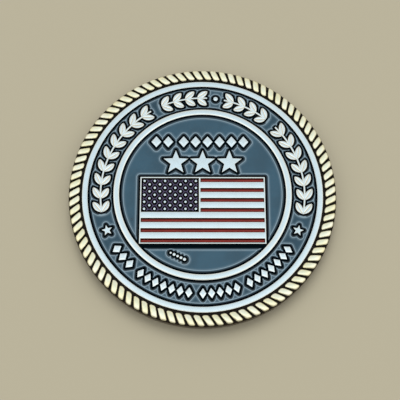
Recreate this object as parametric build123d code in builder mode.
from build123d import *
from math import atan2, cos, degrees, pi, radians, sin, sqrt
import os

# A struck challenge coin: a nickel-plated core with raised relief on both faces, a gold-plated
# rope border round it, and soft enamel poured cell by cell into the recesses.
#
# Units are millimetres. The coin lies flat with its obverse up (+Z), the artwork's upright along
# +Y, and the origin at the centre of the plane it rests on. The reverse is in medal alignment: it
# reads upright when the coin is turned over left to right.

# Overall size
coin_diameter = 44.45
coin_thickness = 3.0  # over the rope crests of both faces

# Radial layout, from the edge inwards
rope_width = 2.125  # the gold border, from the edge to the core
ring_groove = 0.1  # between the outer ring and the border
outer_ring_width = 0.99
band_width = 4.17  # the enamelled band between the two rings
inner_ring_width = 1.03

# Heights, measured into the coin from the faces
relief_drop = 0.08  # rings and artwork sit this far below the rope crests
recess_depth = 0.57  # from the top of the artwork to the floor of the cells
enamel_depth = 0.30  # of the poured enamel, on the floor of a cell
rope_height = 0.45  # of the strands above the border's land
edge_chamfer = 0.12
ring_chamfer = 0.10

# Rope border
strand_count = 90
strand_phase = 0.3  # degrees from +X to the first strand
strand_share = 0.80  # of the pitch filled by a strand where it is widest
strand_lean = 0.89  # how far a strand's two ends stand apart round the border
strand_outer_gap = 0.1  # from the strands to the coin's edge
strand_inner_gap = 0.24  # from the strands to the core
strand_bulge = 0.06  # how far a strand's long sides bow out
strand_end_bulge = 0.08

# Band artwork of the obverse: garlands and lozenges, as (first angle, last angle, repeats)
garland_arcs = [(191.9, 119.9, 9), (-12.9, 44.7, 7)]  # leaves head from first to last
top_garland_arc = (50.4, 114.4, 4)  # from both ends to a bud in the middle
garland_height = 2.65
stem_width = 0.32
leaf_reach = 0.80  # of the pitch covered by a leaf along the stem
leaf_width = 1.15
bud_radius = 0.42
lozenge_arcs = [(212.1, 228.5, 3), (231.4, 264.8, 7), (267.7, 291.2, 5), (294.1, 327.2, 7)]
lozenge_height = 1.9
lozenge_share = 0.9  # of its pitch filled by a lozenge
band_star_radius = 0.98
band_star_drop = 22.8  # degrees below the horizontal
band_star_turn = 15.0
star_ratio = 0.42  # inner to outer radius of every five-pointed star
reverse_branch = (-68.0, 72.0, 17)  # right branch, the left one mirrors it
reverse_star_radius = 1.35

# Field artwork of the obverse, drawn for a field of this radius and scaled with the field
art_field_radius = 13.81
art_flag_top = 2.64  # above the coin's centre
art_title_star_radius = 2.26
art_title_pitch = 4.5
art_title_height = 5.2  # centre of the three large stars above the coin's centre
art_row_height = 8.88  # centre of the small lozenges
art_row_pitch = 2.02
art_row_start = -7.82  # centre of the first lozenge
art_row_counts = (2, 6)  # lozenges in the two groups of the row
art_row_gap = 0.58  # extra space between the groups
art_row_size = (1.86, 2.2)
art_mark_start = (-5.2, -10.3)  # five small pips in a slanting row under the flag
art_mark_step = (0.56, -0.27)
art_mark_radii = (0.2, 0.27, 0.24, 0.26, 0.28)
art_rose_long = 11.6  # reverse: tips of the compass rose
art_rose_short = 8.2
art_rose_shoulder = 2.2
art_rose_notch = 0.26  # how far along a long point the short ones start
art_hub_radius = 1.05

# Flag
flag_aspect = 1.813
flag_corner_gap = 0.18  # from its lower corners to the inner ring
flag_frame = 0.25
stripe_pairs = 6  # of a coloured and a plain stripe, and one more coloured stripe
stripe_share = 0.36  # of a pair's height that is enamel
canton_stripes = 4  # coloured stripes beside the canton
canton_line = 0.30  # metal between the canton and the stripes
canton_share = 0.468  # of the flag's inside width
pip_rows = 9
pip_columns = 6
pip_radius = 0.2
pip_margin = 0.48  # from the canton's edges to the centres of the outer pips
corner_web_radius = 0.3
enamel_line = 0.28  # metal lines round the cells of the compass rose

# Heights above the resting plane
obverse_relief_z = coin_thickness - relief_drop
obverse_floor_z = obverse_relief_z - recess_depth
obverse_land_z = coin_thickness - rope_height
middle_z = coin_thickness / 2

# Radii
coin_radius = coin_diameter / 2
core_radius = coin_radius - rope_width
outer_ring_outer = core_radius - ring_groove
outer_ring_inner = outer_ring_outer - outer_ring_width
inner_ring_outer = outer_ring_inner - band_width
field_radius = inner_ring_outer - inner_ring_width
band_middle = (outer_ring_inner + inner_ring_outer) / 2
art_scale = field_radius / art_field_radius

# Flag outline: its lower corners nearly touch the inner ring, its top edge is set by the artwork
flag_top = art_flag_top * art_scale
corner_circle = field_radius - flag_corner_gap
half_aspect = flag_aspect / 2
square_term = half_aspect**2 + 1
flag_height = (
    flag_top + sqrt(flag_top**2 - square_term * (flag_top**2 - corner_circle**2))
) / square_term
flag_width = flag_aspect * flag_height
flag_middle = flag_top - flag_height / 2
flag_bottom = flag_top - flag_height

# Flag cells
inside_left = -flag_width / 2 + flag_frame
inside_right = flag_width / 2 - flag_frame
inside_top = flag_top - flag_frame
inside_height = flag_height - 2 * flag_frame
pair_height = inside_height / (stripe_pairs + stripe_share)
stripe_height = pair_height * stripe_share
canton_right = inside_left + canton_share * (inside_right - inside_left)
canton_height = (canton_stripes - 1) * pair_height + stripe_height
canton_bottom = inside_top - canton_height
canton_middle = (inside_left + canton_right) / 2


def face_plane(is_obverse, height):
    """A plane at a height above the middle of the coin, drawn as seen from outside that face."""
    if is_obverse:
        return Plane.XY.offset(middle_z + height)
    return Plane(origin=(0, 0, middle_z - height), x_dir=(-1, 0, 0), z_dir=(0, 0, -1))


floor_height = obverse_floor_z - middle_z
land_height = obverse_land_z - middle_z
sides = {"obverse": True, "reverse": False}


def polar(radius, angle):
    """A point at a radius and an angle in degrees."""
    return (radius * cos(radians(angle)), radius * sin(radians(angle)))


def star_outline(radius, turn=0.0, ratio=star_ratio):
    """The ten corners of an upright five-pointed star, turned by an angle in degrees."""
    corners = []
    for index in range(10):
        reach = radius if index % 2 == 0 else radius * ratio
        corners.append(polar(reach, 90 + turn + 36 * index))
    return corners


def add_leaf(angle, heading, pitch, side):
    """One leaf springing from the stem, outwards for side +1 and inwards for side -1."""
    base = Vector(*polar(band_middle + side * stem_width / 4, angle))
    tip = Vector(
        *polar(band_middle + side * garland_height / 2, angle + heading * leaf_reach * pitch)
    )
    along = tip - base
    across = Vector(-along.Y, along.X).normalized() * (leaf_width / 2)
    belly = base + along * 0.5
    with BuildLine() as outline:
        ThreePointArc(base, belly + across, tip)
        ThreePointArc(tip, belly - across, base)
    make_face(outline.edges())


def add_garland(first, last, pairs):
    """Pairs of leaves along a stem that follows the middle of the band."""
    heading = 1 if last > first else -1
    pitch = abs(last - first) / pairs
    for index in range(pairs):
        for side in (1, -1):
            add_leaf(first + heading * pitch * index, heading, pitch, side)
    with BuildLine() as stem:
        CenterArc((0, 0), band_middle, first, last - first - heading * pitch * (1 - leaf_reach))
    trace(stem.line, line_width=stem_width)


def add_lozenges(first, last, count):
    """Upright lozenges side by side round the band."""
    pitch = (last - first) / count
    half_height = lozenge_height / 2
    half_width = radians(pitch) * band_middle * lozenge_share / 2
    for index in range(count):
        angle = first + pitch * (index + 0.5)
        with Locations(Location((*polar(band_middle, angle), 0), (0, 0, angle))):
            Polygon((half_height, 0), (0, half_width), (-half_height, 0), (0, -half_width))


# Raised artwork of the bands, shared by the core and the enamel that flows around it
with BuildSketch() as obverse_band_art:
    for first, last, pairs in garland_arcs:
        add_garland(first, last, pairs)
    top_first, top_last, top_pairs = top_garland_arc
    top_middle = (top_first + top_last) / 2
    half_pitch = (top_last - top_first) / 2 / (top_pairs + 0.5) / 2
    add_garland(top_first, top_middle - half_pitch, top_pairs)
    add_garland(top_last, top_middle + half_pitch, top_pairs)
    with Locations(polar(band_middle, top_middle)):
        Circle(bud_radius)
    for first, last, count in lozenge_arcs:
        add_lozenges(first, last, count)
    for side in (1, -1):
        star_angle = 90 - side * (90 + band_star_drop)
        with Locations(polar(band_middle, star_angle)):
            Polygon(*star_outline(band_star_radius, -side * band_star_turn), align=None)

with BuildSketch() as reverse_band_art:
    first, last, pairs = reverse_branch
    add_garland(first, last, pairs)
    add_garland(180 - first, 180 - last, pairs)
    for star_angle in (90, -90):
        with Locations(polar(band_middle, star_angle)):
            Polygon(*star_outline(reverse_star_radius), align=None)

# Raised artwork of the fields
with BuildSketch() as obverse_title_art:
    for index in (-1, 0, 1):
        with Locations((index * art_title_pitch * art_scale, art_title_height * art_scale)):
            Polygon(*star_outline(art_title_star_radius * art_scale), align=None)
    row_width, row_height = art_row_size
    place = art_row_start
    for group in art_row_counts:
        for index in range(group):
            with Locations((place * art_scale, art_row_height * art_scale)):
                half_w = row_width * art_scale / 2
                half_h = row_height * art_scale / 2
                Polygon((half_w, 0), (0, half_h), (-half_w, 0), (0, -half_h))
            place += art_row_pitch
        place += art_row_gap
    for index, radius in enumerate(art_mark_radii):
        mark_x = (art_mark_start[0] + index * art_mark_step[0]) * art_scale
        mark_y = (art_mark_start[1] + index * art_mark_step[1]) * art_scale
        with Locations((mark_x, mark_y)):
            Circle(radius * art_scale)

with BuildSketch() as flag_outline:
    with Locations((0, flag_middle)):
        Rectangle(flag_width, flag_height)

with BuildSketch() as corner_webs:
    for side in (1, -1):
        corner_angle = degrees(atan2(flag_bottom, side * flag_width / 2))
        with Locations(polar(field_radius, corner_angle)):
            Circle(corner_web_radius)

with BuildSketch() as canton_cell:
    with Locations((canton_middle, inside_top - canton_height / 2)):
        Rectangle(canton_right - inside_left, canton_height)

with BuildSketch() as pips:
    row_pitch = (canton_height - 2 * pip_margin) / (pip_rows - 1)
    column_pitch = (canton_right - inside_left - 2 * pip_margin) / (pip_columns - 1)
    for row in range(pip_rows):
        columns = pip_columns - row % 2
        row_y = inside_top - pip_margin - row_pitch * row
        with Locations((canton_middle, row_y)):
            with GridLocations(column_pitch, row_pitch, columns, 1):
                Circle(pip_radius)

stripe_cells = []
for index in range(stripe_pairs + 1):
    stripe_left = canton_right + canton_line if index < canton_stripes else inside_left
    stripe_y = inside_top - pair_height * index - stripe_height / 2
    with BuildSketch() as stripe:
        with Locations(((stripe_left + inside_right) / 2, stripe_y)):
            Rectangle(inside_right - stripe_left, stripe_height)
    stripe_cells.append(stripe.sketch)

# Compass rose of the reverse: four long points and four short ones, half of each long point
# and the middle of each short point are cells
rose_tip = art_rose_long * art_scale
rose_short_tip = art_rose_short * art_scale
rose_shoulder = art_rose_shoulder * art_scale
notch_x = rose_shoulder * (1 - art_rose_notch)
notch_y = rose_shoulder + art_rose_notch * (rose_tip - rose_shoulder)
quarter_turns = [90 * index for index in range(4)]

with BuildSketch() as long_half:
    Polygon((0, 0), (rose_shoulder, rose_shoulder), (0, rose_tip), align=None)
    offset(amount=-enamel_line, kind=Kind.INTERSECTION, mode=Mode.REPLACE)
    with Locations((0, 0)):
        Circle(art_hub_radius * art_scale, mode=Mode.SUBTRACT)

with BuildSketch() as short_point:
    Polygon(
        (rose_shoulder, rose_shoulder),
        (notch_x, notch_y),
        polar(rose_short_tip, 45),
        (notch_y, notch_x),
        align=None,
    )
    offset(amount=-enamel_line, kind=Kind.INTERSECTION, mode=Mode.REPLACE)

with BuildSketch() as rose_outline:
    for turn in quarter_turns:
        with Locations(Location((0, 0, 0), (0, 0, turn))):
            Polygon(
                (0, 0), (rose_shoulder, rose_shoulder), (0, rose_tip),
                (-rose_shoulder, rose_shoulder), align=None,
            )
            Polygon(
                (rose_shoulder, rose_shoulder), (notch_x, notch_y), polar(rose_short_tip, 45),
                (notch_y, notch_x), align=None,
            )

navy_cells = [long_half.sketch.rotate(Axis.Z, turn) for turn in quarter_turns]
red_cells = [short_point.sketch.rotate(Axis.Z, turn) for turn in quarter_turns]


os.makedirs("parts", exist_ok=True)

# Core: one struck blank, with both rings and all the artwork standing on its floors
with BuildPart() as coin_core:
    with BuildSketch(face_plane(True, -floor_height)):
        Circle(core_radius)
    extrude(amount=2 * floor_height)
    for is_obverse in sides.values():
        with BuildSketch(face_plane(is_obverse, floor_height)):
            Circle(outer_ring_outer)
            Circle(outer_ring_inner, mode=Mode.SUBTRACT)
            Circle(inner_ring_outer)
            Circle(field_radius, mode=Mode.SUBTRACT)
        extrude(amount=recess_depth)
    ring_edges = coin_core.edges().filter_by(GeomType.CIRCLE).group_by(Axis.Z)
    chamfer(ring_edges[0] + ring_edges[-1], ring_chamfer)
    with BuildSketch(face_plane(True, floor_height)):
        add(obverse_band_art.sketch)
        add(obverse_title_art.sketch)
        add(flag_outline.sketch)
        add(canton_cell.sketch, mode=Mode.SUBTRACT)
        add(pips.sketch)
        for cell in stripe_cells:
            add(cell, mode=Mode.SUBTRACT)
    extrude(amount=recess_depth)
    with BuildSketch(face_plane(True, floor_height)):
        add(corner_webs.sketch)
    extrude(amount=enamel_depth + ring_chamfer)
    with BuildSketch(face_plane(False, floor_height)):
        add(reverse_band_art.sketch)
        add(rose_outline.sketch)
        for cell in navy_cells + red_cells:
            add(cell, mode=Mode.SUBTRACT)
    extrude(amount=recess_depth)
coin_core.part.label = "coin_core"
export_step(coin_core.part, "parts/coin_core.step")

# Rope border: a ring with leaning strands standing on both lands
strand_inner = core_radius + strand_inner_gap
strand_outer = coin_radius - strand_outer_gap
strand_middle = (strand_inner + strand_outer) / 2
strand_half_length = (strand_outer - strand_inner) / 2 - strand_end_bulge
strand_half_width = pi * strand_middle / strand_count * strand_share - strand_bulge
half_lean = strand_lean / 2

with BuildSketch() as strand:
    low_left = Vector(-strand_half_length, -half_lean - strand_half_width)
    low_right = Vector(-strand_half_length, -half_lean + strand_half_width)
    high_left = Vector(strand_half_length, half_lean - strand_half_width)
    high_right = Vector(strand_half_length, half_lean + strand_half_width)
    with BuildLine():
        left_middle = (low_left + high_left) * 0.5 - Vector(0, strand_bulge)
        right_middle = (low_right + high_right) * 0.5 + Vector(0, strand_bulge)
        inner_end = (low_left + low_right) * 0.5 - Vector(strand_end_bulge, 0)
        outer_end = (high_left + high_right) * 0.5 + Vector(strand_end_bulge, 0)
        ThreePointArc(low_left, left_middle, high_left)
        ThreePointArc(high_left, outer_end, high_right)
        ThreePointArc(high_right, right_middle, low_right)
        ThreePointArc(low_right, inner_end, low_left)
    make_face()

with BuildPart() as rope_rim:
    with BuildSketch(face_plane(True, -land_height)):
        Circle(coin_radius)
        Circle(core_radius, mode=Mode.SUBTRACT)
    extrude(amount=2 * land_height)
    edge_circles = rope_rim.edges().filter_by(GeomType.CIRCLE).group_by(SortBy.RADIUS)[-1]
    chamfer(edge_circles, edge_chamfer)
    for is_obverse in sides.values():
        with BuildSketch(face_plane(is_obverse, land_height)):
            with PolarLocations(strand_middle, strand_count, strand_phase):
                add(strand.sketch)
        extrude(amount=rope_height)
rope_rim.part.label = "rope_rim"
export_step(rope_rim.part, "parts/rope_rim.step")


# Enamel: each pour fills its cell round the raised artwork, up to the level of the pour
obverse_floor = face_plane(True, floor_height)
reverse_floor = face_plane(False, floor_height)

with BuildSketch() as band_area:
    Circle(outer_ring_inner)
    Circle(inner_ring_outer, mode=Mode.SUBTRACT)

with BuildPart() as obverse_band_enamel:
    with BuildSketch(obverse_floor):
        add(band_area.sketch)
        add(obverse_band_art.sketch, mode=Mode.SUBTRACT)
    extrude(amount=enamel_depth)
obverse_band_enamel.part.label = "obverse_band_enamel"
export_step(obverse_band_enamel.part, "parts/obverse_band_enamel.step")

with BuildPart() as reverse_band_enamel:
    with BuildSketch(reverse_floor):
        add(band_area.sketch)
        add(reverse_band_art.sketch, mode=Mode.SUBTRACT)
    extrude(amount=enamel_depth)
reverse_band_enamel.part.label = "reverse_band_enamel"
export_step(reverse_band_enamel.part, "parts/reverse_band_enamel.step")

# The flag's corner webs part the obverse field into the area above them and the foot below
with BuildSketch() as field_foot:
    Circle(field_radius)
    with Locations((0, flag_bottom)):
        Rectangle(
            2 * field_radius, 2 * field_radius,
            align=(Align.CENTER, Align.MIN), mode=Mode.SUBTRACT,
        )

with BuildPart() as field_upper_enamel:
    with BuildSketch(obverse_floor):
        Circle(field_radius)
        for island in (field_foot, obverse_title_art, flag_outline, corner_webs):
            add(island.sketch, mode=Mode.SUBTRACT)
    extrude(amount=enamel_depth)
field_upper_enamel.part.label = "field_upper_enamel"
export_step(field_upper_enamel.part, "parts/field_upper_enamel.step")

with BuildPart() as field_lower_enamel:
    with BuildSketch(obverse_floor):
        add(field_foot.sketch)
        for island in (obverse_title_art, corner_webs):
            add(island.sketch, mode=Mode.SUBTRACT)
    extrude(amount=enamel_depth)
field_lower_enamel.part.label = "field_lower_enamel"
export_step(field_lower_enamel.part, "parts/field_lower_enamel.step")

with BuildPart() as canton_enamel:
    with BuildSketch(obverse_floor):
        add(canton_cell.sketch)
        add(pips.sketch, mode=Mode.SUBTRACT)
    extrude(amount=enamel_depth)
canton_enamel.part.label = "canton_enamel"
export_step(canton_enamel.part, "parts/canton_enamel.step")

for number, cell in enumerate(stripe_cells, 1):
    with BuildPart() as red_stripe:
        with BuildSketch(obverse_floor):
            add(cell)
        extrude(amount=enamel_depth)
    red_stripe.part.label = f"red_stripe_{number}_enamel"
    export_step(red_stripe.part, f"parts/red_stripe_{number}_enamel.step")

with BuildPart() as reverse_field_enamel:
    with BuildSketch(reverse_floor):
        Circle(field_radius)
        add(rose_outline.sketch, mode=Mode.SUBTRACT)
    extrude(amount=enamel_depth)
reverse_field_enamel.part.label = "reverse_field_enamel"
export_step(reverse_field_enamel.part, "parts/reverse_field_enamel.step")

for number, cell in enumerate(navy_cells, 1):
    with BuildPart() as rose_navy:
        with BuildSketch(reverse_floor):
            add(cell)
        extrude(amount=enamel_depth)
    rose_navy.part.label = f"rose_navy_{number}_enamel"
    export_step(rose_navy.part, f"parts/rose_navy_{number}_enamel.step")

for number, cell in enumerate(red_cells, 1):
    with BuildPart() as rose_red:
        with BuildSketch(reverse_floor):
            add(cell)
        extrude(amount=enamel_depth)
    rose_red.part.label = f"rose_red_{number}_enamel"
    export_step(rose_red.part, f"parts/rose_red_{number}_enamel.step")
